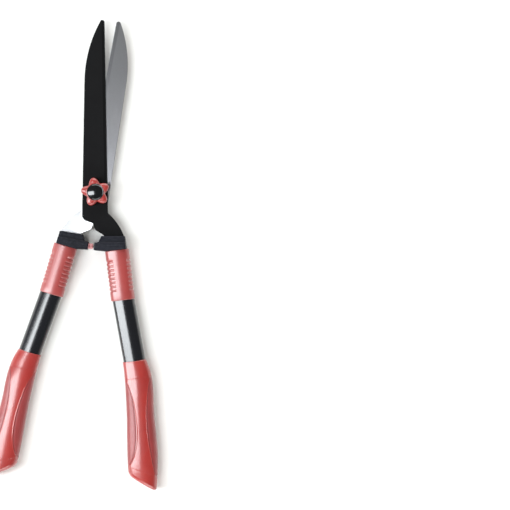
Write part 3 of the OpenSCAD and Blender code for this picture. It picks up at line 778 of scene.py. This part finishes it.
def collar(side, node):
    """The two-tier moulding round the tang, with its spigot, its bands and its half of the stop."""
    place, body = HALVES[side]
    outline = cleaned(rounded(COLLAR_CORNERS, 10))
    o = new_object(f"fine_{node}", *slab(outline, -UPPER_TIER_D / 2, UPPER_TIER_D / 2, 1.6, 6), place)
    low_tier = cleaned(clipped(outline, TIER_Y), 0.05)
    low_tier = slab(low_tier, -LOWER_TIER_D / 2, LOWER_TIER_D / 2, 2.2, 7)
    inside = 2 * (TUBE_WALL + SEAT_FIT)
    spigot = loft([oval(on_handle((0, y)), SLEEVE_LEAN, TUBE_W - inside, TUBE_D - inside, 64)
                   for y in (1, -SPIGOT_L)])
    carve(o, [(*low_tier, place), (*spigot, place)], "UNION")
    tang = cleaned(rounded(BLADE_CORNERS, 8))
    slot = loft([[(*p, z) for p in tang] for z in (BLADE_LOW - SEAT_FIT, BLADE_TOP + SEAT_FIT)])
    cutters = [(*slot, place), *rivet_cutters(place)]
    for s in (-1, 1):
        for y, z, r in BANDS:
            cutters.append((*rod((BAND_START, y, s * z), (BAND_END, y, s * z), r), place))
    at_lobe = place @ LOBE_AXIS
    if side == "right":
        # The recess that takes the buffer's nose, with a flared mouth
        r = BUFFER_D / 2 + 0.7
        cutters.append((*revolve([(r, -STOP_DEPTH), (r, -0.5), (r + 0.6, 0.1), (r + 0.6, 2)], 64), at_lobe))
    else:
        r = FLANGE_D / 2 + SEAT_FIT
        cutters.append((*revolve([(r, -FLANGE_T), (r, 2)], 64), at_lobe))
        r = STEM_D / 2 + SEAT_FIT
        cutters.append((*revolve([(r, -FLANGE_T - STEM_L - SEAT_FIT), (r, 0)], 40), at_lobe))
    carve(o, cutters, sharp=30)
    wear_edges(o, 30, 0.5)
    return finish_piece(o, node, body, "black_plastic")


def buffer():
    """The stop's rubber plug: a stem and a flange in the left lobe, and a ringed nose that stands out."""
    place, body = HALVES["left"]
    reach = LOBE_GAP + STOP_DEPTH - SEAT_FIT
    nose = BUFFER_D / 2
    profile = [(0, -FLANGE_T - STEM_L), (STEM_D / 2, -FLANGE_T - STEM_L),
               (STEM_D / 2, SEAT_FIT - FLANGE_T), (FLANGE_D / 2, SEAT_FIT - FLANGE_T),
               (FLANGE_D / 2, -0.3), (FLANGE_D / 2 - 0.3, 0), (nose + 0.25, 0), (nose, 0.3), (nose, 1.4),
               (nose - 0.35, 1.7), (nose - 0.35, 2.1), (nose, 2.4)]
    for k in range(13):
        a = 7.5 * k
        profile.append((nose * cos(a), reach - nose * 0.55 * (1 - sin(a))))
    o = new_object("fine_buffer", *revolve(profile, 72), place @ LOBE_AXIS, 35)
    wear_edges(o, 40, 0.3)
    return finish_piece(o, "buffer", body, "buffer_rubber")


# ---------------------------------------------------------------- tubes and sleeves
def tube(side, node):
    """The oval tube, from the collar down into the grip, with rounded rims and the rivets' holes."""
    place, body = HALVES[side]
    low = GRIP_Y - TUBE_IN_GRIP
    ways = [-BEND_Y - SEAT_FIT] + [8 - 16 * k / 14 for k in range(15)] + [-20, GRIP_Y, low]

    def ring_at(y, grow):
        c, lean = axis_at(y)
        return oval(c, lean, TUBE_W + 2 * grow, TUBE_D + 2 * grow, 96)
    rim = 0.3
    outer = [ring_at(ways[0], -rim), ring_at(ways[0] - rim, 0)] + [ring_at(y, 0) for y in ways[1:-1]]
    outer += [ring_at(low + rim, 0), ring_at(low, -rim)]
    inner = [ring_at(y, -TUBE_WALL) for y in reversed(ways)]
    v, f = loft(outer + inner, loop=True)
    o = new_object(f"fine_{node}", v, f, place)
    carve(o, rivet_cutters(place))
    return finish_piece(o, node, body, "tube_paint")


def sleeve(side, node):
    """The moulded sleeve, with round-bottomed grooves on its flanks and rounded lips."""
    place, body = HALVES[side]
    n, half_groove, fade = 160, 0.275, 14

    def groove(y):
        """How deep the flank grooves are at a way down the sleeve, 0 to 1."""
        for i in range(FLANK_GROOVES):
            mid = -GROOVE_START - (i + half_groove) * GROOVE_PITCH
            off = abs(y - mid) / (GROOVE_PITCH * half_groove)
            if off < 1:
                return (1 - off ** 2.6) ** 0.7
        return 0

    def ring_at(y, shrink=0.0):
        c = on_handle((0, y))
        out = []
        for i in range(n):
            a = 360 * i / n
            inward = 1 - step(INNER_SPAN - fade, INNER_SPAN, abs(180 - a))
            outward = 1 - step(OUTER_SPAN - fade, OUTER_SPAN, min(a, 360 - a))
            deep = FLANK_DEPTH * groove(y) * max(inward, outward)
            grow = -deep - shrink
            p = turned(((SLEEVE_W / 2 + grow) * cos(a), 0), SLEEVE_LEAN)
            out.append((c[0] + p[0], c[1] + p[1], (SLEEVE_D / 2 + grow) * sin(a)))
        return out
    lip, turns = 0.7, [90 * k / 4 for k in range(5)]
    rings = [ring_at(-SEAT_FIT - lip * (1 - cos(a)), lip * (1 - sin(a))) for a in turns]
    last = -GROOVE_START - FLANK_GROOVES * GROOVE_PITCH - 1
    y = -SEAT_FIT - lip - 0.5
    while y > last:
        rings.append(ring_at(y))
        y -= 0.3 if y < -GROOVE_START + 0.5 else 2
    rings.append(ring_at(-SLEEVE_L + lip))
    rings += [ring_at(-SLEEVE_L + lip * (1 - sin(a)), lip * (1 - cos(a))) for a in turns[1:]]
    bore = []
    for way in (-BEND_RISE - 0.3, 0, -BEND_Y - SEAT_FIT):
        c, lean = axis_at(way)
        if way < 0:
            lean = SLEEVE_LEAN
        bore.append(oval(c, lean, TUBE_W + 2 * SLIP_FIT, TUBE_D + 2 * SLIP_FIT, n))
    v, f = loft(rings + bore, loop=True)
    o = new_object(f"fine_{node}", v, f, place)
    wear_edges(o, 40, 0.7)
    return finish_piece(o, node, body, "red_plastic", SLEEVE_RED, weighted=False)


# ---------------------------------------------------------------- grips
def rung_rows():
    """The grip's rungs down its length, from the mouth to the butt: how far down the inner side, how far down
    the outer side, where each side is across, and the depth."""
    inner = -MOUTH_W / 2
    waist, swell = inner + WAIST_W, inner + SWELL_W
    length, slant = GRIP_L, BUTT_SLANT
    return [
        (0, 0, inner, MOUTH_W / 2, MOUTH_D),
        (length * 0.11, length * 0.1, inner + 2.2, MOUTH_W / 2 + 6, MOUTH_D + 1.5),
        (length * 0.26, length * 0.25, inner + 4.2, waist + 4.4, WAIST_D),
        (length * 0.47, length * 0.46, inner + 5.8, waist + 5.6, WAIST_D),
        (length * 0.65, length * 0.66, inner + 6.2, swell + 4.4, SWELL_D - 1),
        (length * 0.81, length * 0.84, inner + 6.7, swell + 6.7, SWELL_D),
        (length * 0.92, length * 0.94 + slant * 0.55, inner + 7.3, swell + 6.3, SWELL_D),
        (length * 0.96, length * 0.965 + slant, inner + 7.8, swell + 5.4, SWELL_D - 0.6),
    ]


ROWS = rung_rows()
RUNGS_PER_ROW = 3
LAST_RUNG = RUNGS_PER_ROW * (len(ROWS) - 1)
RUNG_PITCH = 0.2
SQUARENESS = 0.9
FIRST_PAD, LAST_PAD = 4, 18
PAD_N = 30
PAD_STATIONS = 80
RECESS_DEEP = 1.3
RECESS_LIP = 1.0
RECESS_EDGE = 0.002
PAD_GAP = 1.6
PAD_PROUD = 0.1
PAD_EDGE = 0.10
PAD_UNDER = 1.15
# The pads' rims, from the outermost station or point inwards: how far each is let down in mm, and how much
# narrower the pad is there in degrees
END_DROPS = (0.7, 0.25, 0.06)
SIDE_DROPS = (0.55, 0.12, 0)
END_GAPS = (1.2, 0.5, 0.15)
SIDE_MIDDLE = 12
# The raised beads beside the pads: degrees off the recess's edge, and their height in mm
BEAD_STOPS = (0, 0.9, 1.8, 2.7, 3.6, 4.6, 5.8)
BEAD_MIDDLE = 2.2
BEAD_WIDTH = 1.35
BEAD_H = 0.32
BUTT_STEPS = 12
BUTT_TURN = 7


def rung(k):
    """A rung of the grip at any whole or part number, on a smooth run through the rows."""
    i = min(int(k / RUNGS_PER_ROW), len(ROWS) - 2)
    t = k / RUNGS_PER_ROW - i
    a, b, c, d = ROWS[max(i - 1, 0)], ROWS[i], ROWS[i + 1], ROWS[min(i + 2, len(ROWS) - 1)]
    return [(2 * q + (r - p) * t + (2 * p - 5 * q + 4 * r - s) * t * t + (3 * q - p - 3 * r + s) * t ** 3) / 2
            for p, q, r, s in zip(a, b, c, d)]


def rung_frame(k):
    """Middle, lean, width and depth of the grip at a rung."""
    r = rung(k)
    inner = add(GRIP_TOP, (r[2], -r[0] - 1.6))
    outer = add(GRIP_TOP, (r[3], -r[1] + 1.6))
    v = (outer[0] - inner[0], outer[1] - inner[1])
    middle = ((inner[0] + outer[0]) / 2, (inner[1] + outer[1]) / 2)
    return middle, math.degrees(math.atan2(v[1], v[0])), math.hypot(*v), r[4]


def share(k):
    """How far along the pads a rung is, 0 to 1."""
    return min(1, max(0, (k - FIRST_PAD) / (LAST_PAD - FIRST_PAD)))


def inner_reach(k):
    """How far round the grip the inner pad's recess reaches to each side at a rung, in degrees."""
    return 5 + 68 * sin(180 * share(k)) ** 0.45


def outer_reach(k):
    """The same for the outer pad's recess."""
    return 6 + 58 * sin(180 * share(k)) ** 0.32


def grip_point(k, f, depth):
    """The point of the grip at a rung and an angle round it, let in by a depth."""
    c, lean, w, d = rung_frame(k)
    a = turned(((w / 2 - depth) * spow(cos(f), SQUARENESS), 0), lean)
    return (c[0] + a[0], c[1] + a[1], (d / 2 - depth) * spow(sin(f), SQUARENESS))


def spread(a, b, n):
    """n numbers from a to b, evenly."""
    return [a + (b - a) * i / (n - 1) for i in range(n)]


def eased(t):
    """0 to 1, with the steps crowded towards both ends."""
    return (1 - cos(180 * t)) / 2


def side_angles(a, b):
    """Angles between two recesses, close together near each of them, where the bead is."""
    low = [a + d for d in BEAD_STOPS]
    high = [b - d for d in reversed(BEAD_STOPS)]
    return low + spread(low[-1], high[0], SIDE_MIDDLE + 2)[1:-1] + high


def bead(k, off):
    """Height of the raised bead at an angle off the edge of a recess, along the pads only."""
    along = step(0, 0.06, share(k)) * (1 - step(0.94, 1, share(k)))
    return BEAD_H * along * math.exp(-((off - BEAD_MIDDLE) / BEAD_WIDTH) ** 2)


def angles_at(k):
    """Angles round the grip at a rung: the outer recess, one flank, the inner recess, the other flank."""
    ro, ri = outer_reach(k), inner_reach(k)
    a, b = ro + RECESS_LIP, 180 - ri - RECESS_LIP
    return (spread(-ro, ro, PAD_N), side_angles(a, b), spread(180 - ri, 180 + ri, PAD_N),
            side_angles(360 - b, 360 - a))


def grip_ring(k, deep):
    """The grip's outline at a rung, with the recesses let in by deep and a bead beside each of them."""
    outward, low_flank, inward, high_flank = angles_at(k)
    a, b = low_flank[0], low_flank[-1]
    out = [grip_point(k, f, deep) for f in outward]
    out += [grip_point(k, f, -bead(k, f - a) - bead(k, b - f)) for f in low_flank]
    out += [grip_point(k, f, deep) for f in inward]
    out += [grip_point(k, f, -bead(k, f - 360 + b) - bead(k, 360 - a - f)) for f in high_flank]
    return out


def grip(side, node):
    """The hollow grip: its bore and mouth, its flanks with the two recesses, and its rounded butt."""
    place, body = HALVES[side]
    plain = [f for run in angles_at(0) for f in run]

    def bore_ring(y, grow=0.0, part=1.0):
        w, d = TUBE_W + 2 * SLIP_FIT + grow, TUBE_D + 2 * SLIP_FIT + grow
        return oval_at(below_bend((0, y)), TUBE_LEAN, w * part, d * part, plain)

    def mouth_ring(shrink, rise):
        c, lean, w, d = rung_frame(0)
        c = add(c, turned((0, rise), lean))
        return oval_at(c, lean, w - 2 * shrink, d - 2 * shrink, plain, SQUARENESS)
    bottom = GRIP_Y - TUBE_IN_GRIP - SEAT_FIT
    rings = [bore_ring(bottom, part=0.5), bore_ring(bottom), bore_ring(GRIP_Y - 3), bore_ring(GRIP_Y + 0.2),
             bore_ring(GRIP_Y + 0.5, 0.5), mouth_ring(0.35, 0.55), mouth_ring(0.1, 0.4), mouth_ring(0, 0.1)]
    k = 0.05
    while k < FIRST_PAD:
        rings.append(grip_ring(k, 0))
        k += RUNG_PITCH
    rings.append(grip_ring(FIRST_PAD, 0))
    rings.append(grip_ring(FIRST_PAD + RECESS_EDGE, RECESS_DEEP))
    for i in range(1, PAD_STATIONS):
        rings.append(grip_ring(FIRST_PAD + (LAST_PAD - FIRST_PAD) * eased(i / PAD_STATIONS), RECESS_DEEP))
    rings.append(grip_ring(LAST_PAD - RECESS_EDGE, RECESS_DEEP))
    k = LAST_PAD
    while k < LAST_RUNG - 0.01:
        rings.append(grip_ring(k, 0))
        k += RUNG_PITCH
    base = grip_ring(LAST_RUNG, 0)
    rings.append(base)
    # The butt: the last ring moves on in the grip's own direction while it closes in
    c, lean, w, d = rung_frame(LAST_RUNG)
    way = (Vector(c) - Vector(rung_frame(LAST_RUNG - 4)[0])).normalized()
    for i in range(1, BUTT_STEPS + 1):
        a = BUTT_TURN * i
        s = BUTT_R * (1 - cos(a))
        off = way * BUTT_R * sin(a)
        out = []
        for p in base:
            q = turned((p[0] - c[0], p[1] - c[1]), -lean)
            t = turned((q[0] * (w - 2 * s) / w, q[1]), lean)
            out.append((c[0] + t[0] + off[0], c[1] + t[1] + off[1], p[2] * (d - 2 * s) / d))
        rings.append(out)
    o = new_object(f"fine_{node}", *loft(rings), place, 50)
    wear_edges(o, 60, 0.5)
    return finish_piece(o, node, body, "red_plastic", weighted=False)


def pad(side, node, middle):
    """A soft pad in its recess, with rounded rims and a hairline gap all round."""
    place, body = HALVES[side]
    reach_of = outer_reach if middle == 0 else inner_reach
    rings = []
    steps = PAD_STATIONS + 4
    for i in range(steps + 1):
        k = FIRST_PAD + PAD_EDGE + (LAST_PAD - FIRST_PAD - 2 * PAD_EDGE) * eased(i / steps)
        end = min(i, steps - i)
        drop, end_gap = (END_DROPS[end], END_GAPS[end]) if end < len(END_DROPS) else (0, 0)
        r = max(reach_of(k) - PAD_GAP - end_gap, 1.5)
        top = []
        for j, f in enumerate(spread(middle - r, middle + r, PAD_N)):
            rim = min(j, PAD_N - 1 - j)
            fall = SIDE_DROPS[rim] if rim < len(SIDE_DROPS) else 0
            top.append(grip_point(k, f, max(drop, fall) - PAD_PROUD))
        under = [grip_point(k, f, PAD_UNDER) for f in spread(middle + r - 0.3, middle - r + 0.3, PAD_N)]
        rings.append(top + under)
    o = new_object(f"fine_{node}", *loft(rings), place, 60)
    return finish_piece(o, node, body, "red_soft", weighted=False)


# ---------------------------------------------------------------- pivot and knob
def level(node, high):
    """Lowest or highest level of a CAD node, in mm."""
    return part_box(node)[1 if high else 0].z / MM


def width_of(node):
    """How wide a CAD node is along X, in mm."""
    low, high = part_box(node)
    return (high.x - low.x) / MM


def lobe_radius(a):
    """The knob's outline at an angle."""
    swell = ((1 + cos(KNOB_LOBES * a)) / 2) ** 0.8
    return KNOB_VALLEY_R + (KNOB_LOBE_R - KNOB_VALLEY_R) * swell


def knob():
    """The star knob: puffed lobes that round off towards the outline, round a rimmed seat for the cap."""
    low, high = level("star_knob", False), level("star_knob", True)
    n = 240
    outline = []
    for i in range(n):
        a = 360 * i / n
        outline.append((lobe_radius(a) * cos(a), lobe_radius(a) * sin(a)))
    period = n // KNOB_LOBES
    seat_r, bore_r = CAP_D / 2 + SEAT_FIT, BOLT_D / 2 + 0.3

    def depth(p):
        """How far a point lies inside the outline."""
        best = math.inf
        for i, b in enumerate(outline):
            a = outline[i - 1]
            u, v = (b[0] - a[0], b[1] - a[1]), (p[0] - a[0], p[1] - a[1])
            t = min(1, max(0, (u[0] * v[0] + u[1] * v[1]) / (u[0] ** 2 + u[1] ** 2)))
            best = min(best, math.hypot(v[0] - u[0] * t, v[1] - u[1] * t))
        return best

    def top_ring(t):
        """Part of the way from the outline to the cap's seat, on the puffed top, with a low rim there. The
        height is worked out on one lobe and repeated."""
        drops, ring = [], []
        for i, (q, edge) in enumerate(zip(outline, edges)):
            p = (q[0] * (1 - t) + edge[0] * t, q[1] * (1 - t) + edge[1] * t)
            if i < period:
                round_off = min(1, depth(p) / PUFF_REACH)
                puffed = PUFF_H * (1 - math.sqrt(1 - (1 - round_off) ** 2))
                rim = step(seat_r + 0.6, seat_r + 1.9, math.hypot(*p)) * PUFF_H
                blend = max(0, 1 - abs(puffed - rim) / 1.2)
                drops.append(min(puffed, rim) - 0.2 * blend * blend + 0.2)
            ring.append((*p, high - max(0.03, drops[i % period])))
        return ring
    edges = circle(seat_r + 0.25, 0, n)
    foot, under_r = 0.6, 0.8
    rings = [circle(bore_r, low, n), circle(KNOB_VALLEY_R - 2.2, low, n),
             circle(KNOB_VALLEY_R - 2.0, low + foot, n), [(*p, low + foot) for p in inset(outline, 1.0)]]
    for k in range(1, 5):
        a = 90 * k / 4
        z = low + foot + under_r * (1 - cos(a))
        rings.append([(*p, z) for p in inset(outline, under_r * (1 - sin(a)))])
    steps = 26
    rings += [top_ring((k / steps) ** 1.5) for k in range(steps + 1)]
    rings += [circle(seat_r, high - 0.3, n), circle(seat_r, high - CAP_SEAT, n),
              circle(bore_r, high - CAP_SEAT, n)]
    turn = Matrix.Rotation(math.radians(KNOB_TURN), 4, "Z")
    o = new_object("fine_star_knob", *loft(rings, loop=True), RIGHT @ turn, 50)
    wear_edges(o, 50, 0.6)
    return finish_piece(o, "star_knob", "knob", "red_plastic", weighted=False)


def cap():
    """The knob's black disc: a low dome inside a raised rim."""
    low, high = level("knob_cap", False), level("knob_cap", True)
    r = CAP_D / 2
    rise = high - low - CAP_SEAT
    seat, hollow_r, steps = low + CAP_SEAT, BOLT_D / 2 + 1, 18
    profile = [(0, low + 1.2), (hollow_r, low + 1.2), (hollow_r, low), (r - 0.3, low), (r, low + 0.3),
               (r, seat - 0.1)]
    profile += arc(r - 0.35, seat, 0.35, 0, 90, 4)[1:]
    profile += [(r - 1.0, seat + 0.25), (r - 1.15, seat + 0.45)]
    for k in range(1, steps + 1):
        t = 1 - k / steps
        profile.append(((r - 1.4) * t, seat + 0.6 + (rise - 0.6) * (1 - t * t) ** 0.9))
    o = new_object("fine_knob_cap", *revolve(profile, 120), RIGHT, 30)
    wear_edges(o, 60, 0.3)
    return finish_piece(o, "knob_cap", "knob", "cap_plastic", weighted=False)


def bolt():
    """The pivot bolt, with its domed head under the rear blade and a chamfered end."""
    low, high = level("pivot_bolt", False), level("pivot_bolt", True)
    head_top = -BLADE_TOP
    head_r, flat_r, steps = width_of("gap_washer") / 2 - 2.5, 1.2, 14
    dome = head_top - low - 0.9
    profile = [(0, low), (flat_r, low + 0.02)]
    for k in range(1, steps + 1):
        a = 90 * k / steps
        profile.append((flat_r + (head_r - flat_r) * sin(a) ** 0.9, low + dome * (1 - cos(a)) ** 1.15))
    profile += [(head_r, head_top - 0.25), (head_r - 0.2, head_top), (BOLT_D / 2, head_top),
                (BOLT_D / 2, high - 0.6), (BOLT_D / 2 - 0.6, high), (0, high)]
    o = new_object("fine_pivot_bolt", *revolve(profile), RIGHT, 35)
    return finish_piece(o, "pivot_bolt", "rear_half", "plated_steel", weighted=False)


def flat_washer():
    low, high = level("flat_washer", False), level("flat_washer", True)
    r, hole, e = width_of("flat_washer") / 2, BOLT_D / 2 + RUNNING_FIT, 0.2
    profile = [(hole, low), (r - e, low), (r - e * 0.3, low + e * 0.3), (r, low + e), (r, high - e),
               (r - e * 0.3, high - e * 0.3), (r - e, high), (hole + e, high), (hole, high - e)]
    o = new_object("fine_flat_washer", *loft([circle(q, z, 120) for q, z in profile], loop=True), RIGHT, 35)
    return finish_piece(o, "flat_washer", "rear_half", "plated_steel", weighted=False)


def wave_washer():
    low, high = level("wave_washer", False), level("wave_washer", True)
    r, hole = width_of("wave_washer") / 2, BOLT_D / 2 + 0.4
    strip, waves, steps = 0.5, 3, 144
    swing = (high - low - strip) / 2
    rings = []
    for i in range(steps):
        a = 360 * i / steps
        z = low + swing * (1 - cos(waves * a))
        corners = [(hole, z + 0.1), (hole + 0.1, z), (r - 0.1, z), (r, z + 0.1), (r, z + strip - 0.1),
                   (r - 0.1, z + strip), (hole + 0.1, z + strip), (hole, z + strip - 0.1)]
        rings.append([(q * cos(a), q * sin(a), h) for q, h in corners])
    o = new_object("fine_wave_washer", *loft(rings, loop=True), RIGHT, 30)
    return finish_piece(o, "wave_washer", "rear_half", "plated_steel", weighted=False)


# ---------------------------------------------------------------- build
blade("right", "front_blade")
blade("left", "rear_blade")
for side in ("right", "left"):
    collar(side, f"{side}_collar")
    tube(side, f"{side}_tube")
    sleeve(side, f"{side}_sleeve")
    grip(side, f"{side}_grip")
    pad(side, f"{side}_inner_pad", 180)
    pad(side, f"{side}_outer_pad", 0)
buffer()
knob()
cap()
bolt()
flat_washer()
wave_washer()

# The CAD's own meshes stay for the pieces that hardly show
for node, slot in (("right_rivets", "plated_steel"), ("left_rivets", "plated_steel"),
                   ("knob_nut", "plated_steel"), ("gap_washer", "nylon")):
    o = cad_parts[node]
    o.data.materials.clear()
    o.data.materials.append(MATERIALS[slot])

# ---------------------------------------------------------------- floor, light and camera
FLOOR_HALF = 30.0
FLOOR_DROP = 0.0001
scene = bpy.context.scene


def floor():
    h, z = FLOOR_HALF, cad_bounds[0].z - FLOOR_DROP
    mesh = bpy.data.meshes.new("floor")
    mesh.from_pydata([(-h, -h, z), (h, -h, z), (h, h, z), (-h, h, z)], [], [(0, 1, 2, 3)])
    o = bpy.data.objects.new("floor", mesh)
    scene.collection.objects.link(o)
    f = Finish("pale_floor", Specular_IOR_Level=0.2)
    f.colour(f.mix(f.noise(3, 3), (0.86, 0.86, 0.835), (0.89, 0.89, 0.865)))
    f.rough(f.span(f.noise(9, 3), 0.3, 0.7, 0.6, 0.75))
    o.data.materials.append(f.m)


def area(name, place, target, size, power, colour):
    """A soft light that the camera doesn't see, aimed at a point."""
    light = bpy.data.lights.new(name, "AREA")
    light.shape = "RECTANGLE"
    light.size, light.size_y = size
    light.energy = power
    light.color = colour
    o = bpy.data.objects.new(name, light)
    o.location = place
    o.rotation_euler = (Vector(target) - Vector(place)).to_track_quat("-Z", "Y").to_euler()
    scene.collection.objects.link(o)
    o.visible_camera = False


floor()
# A tall, narrow window at the left, and a wide soft fill off each end of the tool
area("window", (-2.1, -0.35, 2.25), (0, -0.1, 0), (1.0, 4.1), 145, (0.93, 0.97, 1.0))
area("fill_top", (0.4, 3.6, 1.9), (0.1, 0, 0), (5.0, 2.4), 160, (1.0, 0.985, 0.97))
area("fill_low", (0.4, -3.8, 1.9), (0.1, 0, 0), (5.0, 2.4), 160, (1.0, 0.985, 0.97))

# A bright ring at the horizon under a dim ceiling: from and to heights, then from and to strengths
RING = (0.08, 0.3, 0.95, 0.1)
world = bpy.data.worlds.new("studio")
world.use_nodes = True
sky = world.node_tree
pale = sky.nodes["Background"]
pale.inputs[0].default_value = (1.0, 0.99, 0.97, 1)
up = sky.nodes.new("ShaderNodeSeparateXYZ")
sky.links.new(sky.nodes.new("ShaderNodeTexCoord").outputs["Generated"], up.inputs[0])
dim = sky.nodes.new("ShaderNodeMapRange")
for i, v in enumerate(RING):
    dim.inputs[i + 1].default_value = v
sky.links.new(up.outputs[2], dim.inputs[0])
sky.links.new(dim.outputs[0], pale.inputs[1])
scene.world = world
scene.view_settings.view_transform = "Standard"

# Straight down, as in the photo, with the tool's left handle cut off by the frame
CAMERA_HEIGHT = 3.5
VIEW_WIDTH = 0.7413
VIEW_CENTRE = (0.2310, -0.0911)
SENSOR = 36
camera = bpy.data.objects.new("camera", bpy.data.cameras.new("camera"))
camera.data.sensor_width = SENSOR
camera.data.lens = SENSOR * CAMERA_HEIGHT / VIEW_WIDTH
camera.data.clip_start, camera.data.clip_end = 0.05, 40
camera.location = (*VIEW_CENTRE, CAMERA_HEIGHT)
scene.collection.objects.link(camera)
scene.camera = camera
